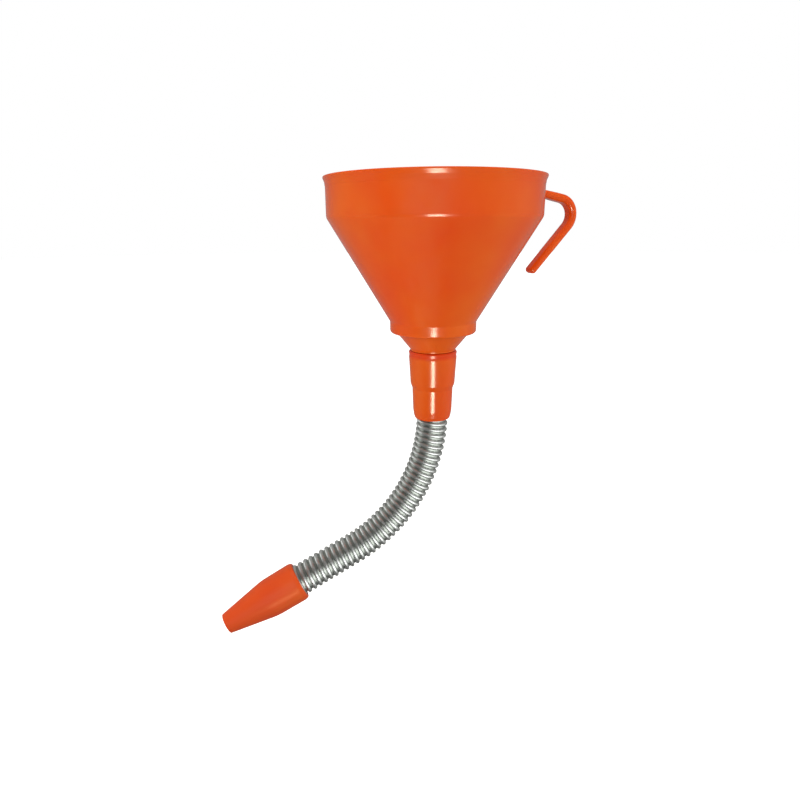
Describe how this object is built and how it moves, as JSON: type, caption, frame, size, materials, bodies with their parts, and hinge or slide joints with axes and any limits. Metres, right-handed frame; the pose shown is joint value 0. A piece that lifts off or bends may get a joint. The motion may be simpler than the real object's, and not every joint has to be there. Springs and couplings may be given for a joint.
{
  "type": "funnel with flexible spout",
  "caption": "Orange workshop funnel: wide conical bowl with a hanging hook and a strainer, feeding a bendable ribbed metal hose through a push-fit sleeve, with a tapered outlet nozzle.",
  "frame": {"origin": "on the bowl's axis, in the plane of the collar's underside, where a ring stand or a hand holds the funnel", "axes": "+Z along the bowl's axis, out of its mouth; the hook at +X, and the hose bends towards -X in the plane Y = 0"},
  "size_m": [0.2974, 0.16, 0.3382],
  "materials": {
    "orange_plastic": "moulded polyethylene, soft gloss",
    "nozzle_plastic": "moulded polyethylene, soft gloss",
    "strainer_plastic": "satin moulded",
    "gauze_wire": "woven wire",
    "hose_steel": "bright zinc on formed strip"
  },
  "bodies": {
    "bowl": {"funnel_bowl": "orange_plastic"},
    "strainer": {"strainer_frame": "strainer_plastic", "strainer_gauze": "gauze_wire"},
    "connector": {"spout_connector": "orange_plastic"},
    "hose_inlet": {"hose_upper_end": "hose_steel"},
    "turn_01": {"hose_turn_01": "hose_steel"},
    "turn_02": {"hose_turn_02": "hose_steel"},
    "turn_03": {"hose_turn_03": "hose_steel"},
    "turn_04": {"hose_turn_04": "hose_steel"},
    "turn_05": {"hose_turn_05": "hose_steel"},
    "turn_06": {"hose_turn_06": "hose_steel"},
    "turn_07": {"hose_turn_07": "hose_steel"},
    "turn_08": {"hose_turn_08": "hose_steel"},
    "turn_09": {"hose_turn_09": "hose_steel"},
    "turn_10": {"hose_turn_10": "hose_steel"},
    "turn_11": {"hose_turn_11": "hose_steel"},
    "turn_12": {"hose_turn_12": "hose_steel"},
    "turn_13": {"hose_turn_13": "hose_steel"},
    "turn_14": {"hose_turn_14": "hose_steel"},
    "turn_15": {"hose_turn_15": "hose_steel"},
    "turn_16": {"hose_turn_16": "hose_steel"},
    "turn_17": {"hose_turn_17": "hose_steel"},
    "turn_18": {"hose_turn_18": "hose_steel"},
    "turn_19": {"hose_turn_19": "hose_steel"},
    "turn_20": {"hose_turn_20": "hose_steel"},
    "turn_21": {"hose_turn_21": "hose_steel"},
    "turn_22": {"hose_turn_22": "hose_steel"},
    "turn_23": {"hose_turn_23": "hose_steel"},
    "turn_24": {"hose_turn_24": "hose_steel"},
    "turn_25": {"hose_turn_25": "hose_steel"},
    "turn_26": {"hose_turn_26": "hose_steel"},
    "turn_27": {"hose_turn_27": "hose_steel"},
    "turn_28": {"hose_turn_28": "hose_steel"},
    "turn_29": {"hose_turn_29": "hose_steel"},
    "turn_30": {"hose_turn_30": "hose_steel"},
    "turn_31": {"hose_turn_31": "hose_steel"},
    "turn_32": {"hose_turn_32": "hose_steel"},
    "turn_33": {"hose_turn_33": "hose_steel"},
    "turn_34": {"hose_turn_34": "hose_steel"},
    "turn_35": {"hose_turn_35": "hose_steel"},
    "turn_36": {"hose_turn_36": "hose_steel"},
    "turn_37": {"hose_turn_37": "hose_steel"},
    "turn_38": {"hose_turn_38": "hose_steel"},
    "outlet": {"hose_lower_end": "hose_steel", "outlet_nozzle": "nozzle_plastic"}
  },
  "joints": [
    {"name": "strainer_lift", "type": "slide", "parent": "bowl", "child": "strainer", "axis": [0, 0, 1], "range_m": [0, 0.13]},
    {"name": "spout_pull_off", "type": "slide", "parent": "bowl", "child": "connector", "axis": [0, 0, -1], "range_m": [0, 0.04]},
    {"name": "spout_swivel", "type": "hinge", "parent": "connector", "child": "hose_inlet", "pos_m": [0, 0, -0.069], "axis": [0, 0, -1], "continuous": true},
    {"name": "hose_bend_upper", "type": "hinge", "parent": "hose_inlet", "child": "turn_01", "pos_m": [0, 0, -0.069], "axis": [0, 1, 0.0035], "range_deg": [-8.3, 3.7]},
    {"name": "hose_sway_upper", "type": "hinge", "parent": "turn_01", "child": "turn_02", "pos_m": [-0.00019, 0, -0.07384], "axis": [0.9982, 0, -0.0602], "range_deg": [-5.5, 5.5]},
    {"name": "hose_bend_upper_02", "type": "hinge", "parent": "turn_02", "child": "turn_03", "pos_m": [-0.00058, 0, -0.07866], "axis": [0, 1, 0.0035], "range_deg": [-8.3, 3.7]},
    {"name": "hose_sway_upper_03", "type": "hinge", "parent": "turn_03", "child": "turn_04", "pos_m": [-0.00116, 0, -0.08347], "axis": [0.9901, 0, -0.14], "range_deg": [-5.5, 5.5]},
    {"name": "hose_bend_upper_04", "type": "hinge", "parent": "turn_04", "child": "turn_05", "pos_m": [-0.00194, 0, -0.08824], "axis": [0, 1, 0.0035], "range_deg": [-8.3, 3.7]},
    {"name": "hose_sway_upper_05", "type": "hinge", "parent": "turn_05", "child": "turn_06", "pos_m": [-0.0029, 0, -0.09299], "axis": [0.9757, 0, -0.219], "range_deg": [-5.5, 5.5]},
    {"name": "hose_bend_upper_06", "type": "hinge", "parent": "turn_06", "child": "turn_07", "pos_m": [-0.00406, 0, -0.09769], "axis": [0, 1, 0.0035], "range_deg": [-8.3, 3.7]},
    {"name": "hose_sway_upper_07", "type": "hinge", "parent": "turn_07", "child": "turn_08", "pos_m": [-0.0054, 0, -0.10234], "axis": [0.955, 0, -0.2965], "range_deg": [-5.5, 5.5]},
    {"name": "hose_bend_upper_08", "type": "hinge", "parent": "turn_08", "child": "turn_09", "pos_m": [-0.00693, 0, -0.10693], "axis": [0, 1, 0.0035], "range_deg": [-8.3, 3.7]},
    {"name": "hose_sway_upper_09", "type": "hinge", "parent": "turn_09", "child": "turn_10", "pos_m": [-0.00864, 0, -0.11146], "axis": [0.9282, 0, -0.3722], "range_deg": [-5.5, 5.5]},
    {"name": "hose_bend_upper_10", "type": "hinge", "parent": "turn_10", "child": "turn_11", "pos_m": [-0.01053, 0, -0.11591], "axis": [0, 1, 0.0035], "range_deg": [-8.3, 3.7]},
    {"name": "hose_sway_upper_11", "type": "hinge", "parent": "turn_11", "child": "turn_12", "pos_m": [-0.0126, 0, -0.12029], "axis": [0.8953, 0, -0.4454], "range_deg": [-5.5, 5.5]},
    {"name": "hose_bend_upper_12", "type": "hinge", "parent": "turn_12", "child": "turn_13", "pos_m": [-0.01484, 0, -0.12458], "axis": [0, 1, 0.0035], "range_deg": [-8.3, 3.7]},
    {"name": "hose_sway_upper_13", "type": "hinge", "parent": "turn_13", "child": "turn_14", "pos_m": [-0.01725, 0, -0.12877], "axis": [0.8567, 0, -0.5158], "range_deg": [-5.5, 5.5]},
    {"name": "hose_bend_middle", "type": "hinge", "parent": "turn_14", "child": "turn_15", "pos_m": [-0.01983, 0, -0.13287], "axis": [0, 1, 0.0035], "range_deg": [-8.46, 3.54]},
    {"name": "hose_sway_middle", "type": "hinge", "parent": "turn_15", "child": "turn_16", "pos_m": [-0.02258, 0, -0.13685], "axis": [0.8101, 0, -0.5862], "range_deg": [-5.4, 5.4]},
    {"name": "hose_bend_middle_16", "type": "hinge", "parent": "turn_16", "child": "turn_17", "pos_m": [-0.0255, 0, -0.14071], "axis": [0, 1, 0.0035], "range_deg": [-8.46, 3.54]},
    {"name": "hose_sway_middle_17", "type": "hinge", "parent": "turn_17", "child": "turn_18", "pos_m": [-0.02859, 0, -0.14444], "axis": [0.7569, 0, -0.6536], "range_deg": [-5.4, 5.4]},
    {"name": "hose_bend_middle_18", "type": "hinge", "parent": "turn_18", "child": "turn_19", "pos_m": [-0.03183, 0, -0.14803], "axis": [0, 1, 0.0035], "range_deg": [-8.46, 3.54]},
    {"name": "hose_sway_middle_19", "type": "hinge", "parent": "turn_19", "child": "turn_20", "pos_m": [-0.03522, 0, -0.15149], "axis": [0.698, 0, -0.7161], "range_deg": [-5.4, 5.4]},
    {"name": "hose_bend_middle_20", "type": "hinge", "parent": "turn_20", "child": "turn_21", "pos_m": [-0.03876, 0, -0.15479], "axis": [0, 1, 0.0035], "range_deg": [-8.46, 3.54]},
    {"name": "hose_sway_middle_21", "type": "hinge", "parent": "turn_21", "child": "turn_22", "pos_m": [-0.04244, 0, -0.15794], "axis": [0.6341, 0, -0.7733], "range_deg": [-5.4, 5.4]},
    {"name": "hose_bend_middle_22", "type": "hinge", "parent": "turn_22", "child": "turn_23", "pos_m": [-0.04624, 0, -0.16093], "axis": [0, 1, 0.0035], "range_deg": [-8.46, 3.54]},
    {"name": "hose_sway_middle_23", "type": "hinge", "parent": "turn_23", "child": "turn_24", "pos_m": [-0.05018, 0, -0.16375], "axis": [0.5654, 0, -0.8248], "range_deg": [-5.4, 5.4]},
    {"name": "hose_bend_middle_24", "type": "hinge", "parent": "turn_24", "child": "turn_25", "pos_m": [-0.05423, 0, -0.1664], "axis": [0, 1, 0.0035], "range_deg": [-8.46, 3.54]},
    {"name": "hose_sway_middle_25", "type": "hinge", "parent": "turn_25", "child": "turn_26", "pos_m": [-0.05839, 0, -0.16887], "axis": [0.4926, 0, -0.8703], "range_deg": [-5.4, 5.4]},
    {"name": "hose_bend_middle_26", "type": "hinge", "parent": "turn_26", "child": "turn_27", "pos_m": [-0.06265, 0, -0.17116], "axis": [0, 1, 0.0035], "range_deg": [-8.46, 3.54]},
    {"name": "hose_sway_middle_27", "type": "hinge", "parent": "turn_27", "child": "turn_28", "pos_m": [-0.067, 0, -0.17327], "axis": [0.4161, 0, -0.9093], "range_deg": [-5.4, 5.4]},
    {"name": "hose_bend_lower", "type": "hinge", "parent": "turn_28", "child": "turn_29", "pos_m": [-0.07145, 0, -0.17519], "axis": [0, 1, 0.0035], "range_deg": [-6, 6]},
    {"name": "hose_sway_lower", "type": "hinge", "parent": "turn_29", "child": "turn_30", "pos_m": [-0.07589, 0, -0.17711], "axis": [0.3965, 0, -0.918], "range_deg": [-6, 6]},
    {"name": "hose_bend_lower_30", "type": "hinge", "parent": "turn_30", "child": "turn_31", "pos_m": [-0.08033, 0, -0.17903], "axis": [0, 1, 0.0035], "range_deg": [-6, 6]},
    {"name": "hose_sway_lower_31", "type": "hinge", "parent": "turn_31", "child": "turn_32", "pos_m": [-0.08478, 0, -0.18095], "axis": [0.3965, 0, -0.918], "range_deg": [-6, 6]},
    {"name": "hose_bend_lower_32", "type": "hinge", "parent": "turn_32", "child": "turn_33", "pos_m": [-0.08922, 0, -0.18287], "axis": [0, 1, 0.0035], "range_deg": [-6, 6]},
    {"name": "hose_sway_lower_33", "type": "hinge", "parent": "turn_33", "child": "turn_34", "pos_m": [-0.09366, 0, -0.18479], "axis": [0.3965, 0, -0.918], "range_deg": [-6, 6]},
    {"name": "hose_bend_lower_34", "type": "hinge", "parent": "turn_34", "child": "turn_35", "pos_m": [-0.09811, 0, -0.18671], "axis": [0, 1, 0.0035], "range_deg": [-6, 6]},
    {"name": "hose_sway_lower_35", "type": "hinge", "parent": "turn_35", "child": "turn_36", "pos_m": [-0.10255, 0, -0.18862], "axis": [0.3965, 0, -0.918], "range_deg": [-6, 6]},
    {"name": "hose_bend_lower_36", "type": "hinge", "parent": "turn_36", "child": "turn_37", "pos_m": [-0.10699, 0, -0.19054], "axis": [0, 1, 0.0035], "range_deg": [-6, 6]},
    {"name": "hose_sway_lower_37", "type": "hinge", "parent": "turn_37", "child": "turn_38", "pos_m": [-0.11144, 0, -0.19246], "axis": [0.3965, 0, -0.918], "range_deg": [-6, 6]},
    {"name": "hose_bend_lower_38", "type": "hinge", "parent": "turn_38", "child": "outlet", "pos_m": [-0.11588, 0, -0.19438], "axis": [0, 1, 0.0035], "range_deg": [-6, 6]}
  ],
  "couplings": [
    {"joint": "hose_bend_upper_02", "follows": "hose_bend_upper", "ratio": 1},
    {"joint": "hose_sway_upper_03", "follows": "hose_sway_upper", "ratio": 1},
    {"joint": "hose_bend_upper_04", "follows": "hose_bend_upper", "ratio": 1},
    {"joint": "hose_sway_upper_05", "follows": "hose_sway_upper", "ratio": 1},
    {"joint": "hose_bend_upper_06", "follows": "hose_bend_upper", "ratio": 1},
    {"joint": "hose_sway_upper_07", "follows": "hose_sway_upper", "ratio": 1},
    {"joint": "hose_bend_upper_08", "follows": "hose_bend_upper", "ratio": 1},
    {"joint": "hose_sway_upper_09", "follows": "hose_sway_upper", "ratio": 1},
    {"joint": "hose_bend_upper_10", "follows": "hose_bend_upper", "ratio": 1},
    {"joint": "hose_sway_upper_11", "follows": "hose_sway_upper", "ratio": 1},
    {"joint": "hose_bend_upper_12", "follows": "hose_bend_upper", "ratio": 1},
    {"joint": "hose_sway_upper_13", "follows": "hose_sway_upper", "ratio": 1},
    {"joint": "hose_bend_middle_16", "follows": "hose_bend_middle", "ratio": 1},
    {"joint": "hose_sway_middle_17", "follows": "hose_sway_middle", "ratio": 1},
    {"joint": "hose_bend_middle_18", "follows": "hose_bend_middle", "ratio": 1},
    {"joint": "hose_sway_middle_19", "follows": "hose_sway_middle", "ratio": 1},
    {"joint": "hose_bend_middle_20", "follows": "hose_bend_middle", "ratio": 1},
    {"joint": "hose_sway_middle_21", "follows": "hose_sway_middle", "ratio": 1},
    {"joint": "hose_bend_middle_22", "follows": "hose_bend_middle", "ratio": 1},
    {"joint": "hose_sway_middle_23", "follows": "hose_sway_middle", "ratio": 1},
    {"joint": "hose_bend_middle_24", "follows": "hose_bend_middle", "ratio": 1},
    {"joint": "hose_sway_middle_25", "follows": "hose_sway_middle", "ratio": 1},
    {"joint": "hose_bend_middle_26", "follows": "hose_bend_middle", "ratio": 1},
    {"joint": "hose_sway_middle_27", "follows": "hose_sway_middle", "ratio": 1},
    {"joint": "hose_bend_lower_30", "follows": "hose_bend_lower", "ratio": 1},
    {"joint": "hose_sway_lower_31", "follows": "hose_sway_lower", "ratio": 1},
    {"joint": "hose_bend_lower_32", "follows": "hose_bend_lower", "ratio": 1},
    {"joint": "hose_sway_lower_33", "follows": "hose_sway_lower", "ratio": 1},
    {"joint": "hose_bend_lower_34", "follows": "hose_bend_lower", "ratio": 1},
    {"joint": "hose_sway_lower_35", "follows": "hose_sway_lower", "ratio": 1},
    {"joint": "hose_bend_lower_36", "follows": "hose_bend_lower", "ratio": 1},
    {"joint": "hose_sway_lower_37", "follows": "hose_sway_lower", "ratio": 1},
    {"joint": "hose_bend_lower_38", "follows": "hose_bend_lower", "ratio": 1}
  ]
}
